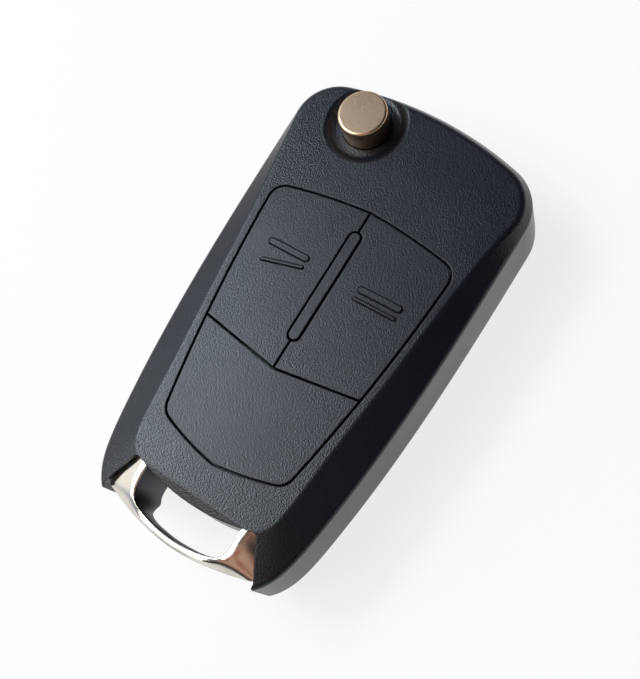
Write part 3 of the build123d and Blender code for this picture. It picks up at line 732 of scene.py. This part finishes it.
# %% Dress the pieces
FINISHES = {
    "front_shell": case_plastic,
    "rear_shell": case_plastic,
    "battery_cover": case_plastic,
    "left_button": button_plastic,
    "right_button": button_plastic,
    "panel_insert": panel_plastic,
    "button_mat": mat_rubber,
    "circuit_board": board_lacquer,
    "control_chip": chip_epoxy,
    "transponder": chip_epoxy,
    "left_switch": tinned_steel,
    "right_switch": tinned_steel,
    "battery_clip": contact_brass,
    "side_contact": contact_brass,
    "spring_seat": contact_brass,
    "coin_cell": tinned_steel,
    "release_button": satin_chrome,
    "blade": blade_steel,
    "blade_head": cast_zinc,
    "blade_pin": blade_steel,
    "case_screws": black_zinc,
}
OWN_PIECES = [(ring_loop, ring_chrome), (spring_coil, spring_steel), (chip_legs, tinned_steel)]
SMOOTH_UNDER = math.radians(32)


def dress(piece, finish):
    """Gives a piece its finish and smooth shading between its real corners."""
    piece.data.materials.clear()
    piece.data.materials.append(finish)
    piece.data.shade_smooth()
    piece.data.set_sharp_from_angle(angle=SMOOTH_UNDER)


for name, finish in FINISHES.items():
    dress(nodes[name], finish)
for piece, finish in OWN_PIECES:
    dress(piece, finish)
print("dressed:", len(FINISHES) + len(OWN_PIECES), "pieces; replaced:", sorted(set(nodes) - set(FINISHES)))

# %% [markdown]
# No mould or casting has a corner without a radius, and the small radius is what catches the light. A
# narrow Bevel modifier gives it to the buttons, the lower panel, the battery cover and the head of the
# blade. The widths are in millimetres, and only corners sharper than the smoothing angle are taken.

# %% Soft edges
SOFT_EDGES = {
    "left_button": 0.2,
    "right_button": 0.2,
    "panel_insert": 0.2,
    "battery_cover": 0.12,
    "blade_head": 0.15,
}
BEVEL_STEPS = 3
for name, width in SOFT_EDGES.items():
    bevel = nodes[name].modifiers.new("soft edges", "BEVEL")
    bevel.width = width * MM
    bevel.segments = BEVEL_STEPS
    bevel.limit_method = "ANGLE"
    bevel.angle_limit = SMOOTH_UNDER
    bevel.harden_normals = True
print("softened:", sorted(SOFT_EDGES))

# %% [markdown]
# The key lies on a wide pale table, which is only a stage. A flat table shows its edge in a low view, so
# this one is round and its rim curves up, as a photographer's paper sweep does: rings of points at
# growing radius, with faces between them. It lies a twentieth of a millimetre under the key, so that the
# two surfaces, which would otherwise be in the same place, don't fight.

# %% Table
SWEEP = [(0.5, 0.0), (1.6, 0.0), (2.1, 0.03), (2.4, 0.13), (2.55, 0.30), (2.6, 0.50)]
SEGMENTS = 72
paper = bmesh.new()
middle_point = paper.verts.new((0.0, 0.0, 0.0))
hoops = []
for radius, height in SWEEP:
    turns = [2 * math.pi * k / SEGMENTS for k in range(SEGMENTS)]
    hoops.append([paper.verts.new((radius * math.cos(a), radius * math.sin(a), height)) for a in turns])
for k in range(SEGMENTS):
    after = (k + 1) % SEGMENTS
    paper.faces.new((middle_point, hoops[0][k], hoops[0][after]))
    for low, high in zip(hoops, hoops[1:]):
        paper.faces.new((low[k], high[k], high[after], low[after]))
table_mesh = bpy.data.meshes.new("table")
paper.to_mesh(table_mesh)
paper.free()
table_mesh.shade_smooth()
table = bpy.data.objects.new("table", table_mesh)
scene.collection.objects.link(table)
TABLE_DROP = -0.00005
table.location.z = TABLE_DROP
print("table", 2 * SWEEP[-1][0], "m wide")

# %% [markdown]
# The paper is just under white. Most of what the camera and polished metal see of it is plain white, and
# the rest is the paper itself, so the soft shadow under the key still reads. Seen from below it is clear
# under the key alone, in a rounded window, so the back with the battery cover can be looked at where it
# lies.

# %% Table paint
PAPER_COLOR = (0.94, 0.935, 0.925, 1.0)
WHITE_SHARE = 0.8
WINDOW_HALF_WIDTH = 0.0192
WINDOW_HALF_LENGTH = 0.0355
WINDOW_ROUNDING = 6.0
table_paint, tree, shader = start_finish("table paint")
shader.inputs["Base Color"].default_value = PAPER_COLOR
shader.inputs["Roughness"].default_value = 0.8
shader.inputs["Specular IOR Level"].default_value = 0.1
rays = tree.nodes.new("ShaderNodeLightPath")
seen = math_node(tree, "MAXIMUM", rays.outputs["Is Camera Ray"], rays.outputs["Is Glossy Ray"])
seen = math_node(tree, "MAXIMUM", seen, rays.outputs["Is Transmission Ray"])
white = put(tree, "ShaderNodeEmission", {"Color": (1.0, 1.0, 1.0, 1.0), "Strength": 1.0})
shares = tree.nodes.new("ShaderNodeMixShader")
join(tree, math_node(tree, "MULTIPLY", seen, WHITE_SHARE), shares.inputs[0])
join(tree, shader.outputs[0], shares.inputs[1])
join(tree, white.outputs[0], shares.inputs[2])
clear = tree.nodes.new("ShaderNodeBsdfTransparent")
one_sided = tree.nodes.new("ShaderNodeMixShader")
paper_place = tree.nodes.new("ShaderNodeSeparateXYZ")
join(tree, own_place(tree), paper_place.inputs[0])
powers = []
for axis, half in (("X", WINDOW_HALF_WIDTH), ("Y", WINDOW_HALF_LENGTH)):
    relative = math_node(tree, "DIVIDE", math_node(tree, "ABSOLUTE", paper_place.outputs[axis]), half)
    powers.append(math_node(tree, "POWER", relative, WINDOW_ROUNDING))
inside = math_node(tree, "LESS_THAN", math_node(tree, "ADD", *powers), 1.0)
backfacing = tree.nodes.new("ShaderNodeNewGeometry").outputs["Backfacing"]
join(tree, math_node(tree, "MULTIPLY", backfacing, inside), one_sided.inputs[0])
join(tree, shares.outputs[0], one_sided.inputs[1])
join(tree, clear.outputs[0], one_sided.inputs[2])
join(tree, one_sided.outputs[0], tree.nodes["Material Output"].inputs["Surface"])
table.data.materials.append(table_paint)
print("table paint:", table_paint.name)

# %% [markdown]
# Polished metal is only as good as what it reflects, and so is dark, grained plastic. The room is bright
# on the left, where its window wall is, and falls away to dark on the right, so the left of the deck
# shines and the right bevel goes nearly black. A pale curtain shows in the loop's left post, and a brown
# patch, broken up by noise, is the wooden furniture that its right post mirrors. Below the table the room
# is plain and pale. Each patch is a direction, and the ranges say how near to it the patch begins and is
# full.

# %% Room
WINDOW_WALL = (0.52, 0.60, 0.72)
DARK_WALL = (0.03, 0.032, 0.036)
WOOD = (0.34, 0.15, 0.10)
PALE_WOOD = (0.56, 0.37, 0.29)
CURTAIN = (1.25, 1.25, 1.22)
BELOW = (0.80, 0.81, 0.83)
CURTAIN_DIRECTION = (-0.85, -0.33, 0.41)
CURTAIN_RANGE = (0.94, 0.985)
WOOD_DIRECTION = (0.15, -0.60, 0.78)
WOOD_RANGE = (0.87, 0.93)
WOOD_GRAIN = {"Scale": 6.0, "Detail": 2.0}
GRAIN_RANGE = (0.4, 0.62)
WALL_RANGE = (-0.60, -0.22)
BELOW_RANGE = (-0.02, -0.08)
ROOM_STRENGTH = 1.0
world = bpy.data.worlds.new("room")
scene.world = world
world.use_nodes = True
tree = world.node_tree
background = tree.nodes["Background"]
view = tree.nodes.new("ShaderNodeTexCoord").outputs["Generated"]
parts = tree.nodes.new("ShaderNodeSeparateXYZ")
join(tree, view, parts.inputs[0])
walls = blend_colors(tree, ramp(tree, parts.outputs["X"], *WALL_RANGE), WINDOW_WALL, DARK_WALL)
nearness = vector_node(tree, "DOT_PRODUCT", view, WOOD_DIRECTION)
wood_share = ramp(tree, nearness, *WOOD_RANGE)
wood_grain = put(tree, "ShaderNodeTexNoise", WOOD_GRAIN)
join(tree, view, wood_grain.inputs["Vector"])
wood_tone = blend_colors(tree, ramp(tree, wood_grain.outputs["Fac"], *GRAIN_RANGE), WOOD, PALE_WOOD)
curtain_nearness = vector_node(tree, "DOT_PRODUCT", view, CURTAIN_DIRECTION)
walls = blend_colors(tree, ramp(tree, curtain_nearness, *CURTAIN_RANGE), walls, CURTAIN)
walls = blend_colors(tree, ramp(tree, parts.outputs["Z"], *BELOW_RANGE), walls, BELOW)
join(tree, blend_colors(tree, wood_share, walls, wood_tone), background.inputs["Color"])
background.inputs["Strength"].default_value = ROOM_STRENGTH
print("room:", world.name)

# %% [markdown]
# The lamps are three soft windows. A long one stands on the left and lights the whole key. A small roof
# window and one past the ring end draw the white line along the loop. Each is given by its place in
# metres, its power in watts, its width and length, and its colour, cool from the sky and warm from the
# room.


# %% Windows
def soft_window(name, place, power, width, length, color):
    """A rectangular area lamp that points at the key, its length as level as it can be."""
    data = bpy.data.lights.new(name, "AREA")
    data.shape = "RECTANGLE"
    data.energy = power
    data.size = width
    data.size_y = length
    data.color = color
    lamp = bpy.data.objects.new(name, data)
    lamp.location = place
    lamp.rotation_euler = (-Vector(place)).to_track_quat("-Z", "Y").to_euler()
    scene.collection.objects.link(lamp)


WINDOWS = {
    "left_window": ((-0.365, -0.035, 0.475), 2.5, 0.32, 0.14, (0.80, 0.90, 1.0)),
    "roof_window": ((-0.19, -0.05, 0.57), 0.25, 0.2, 0.16, (0.95, 0.98, 1.0)),
    "ring_window": ((-0.22, -0.28, 0.51), 0.9, 0.2, 0.2, (1.0, 0.98, 0.93)),
}
for name, settings in WINDOWS.items():
    soft_window(name, *settings)
scene.view_settings.view_transform = "Standard"
print("windows:", len(WINDOWS))
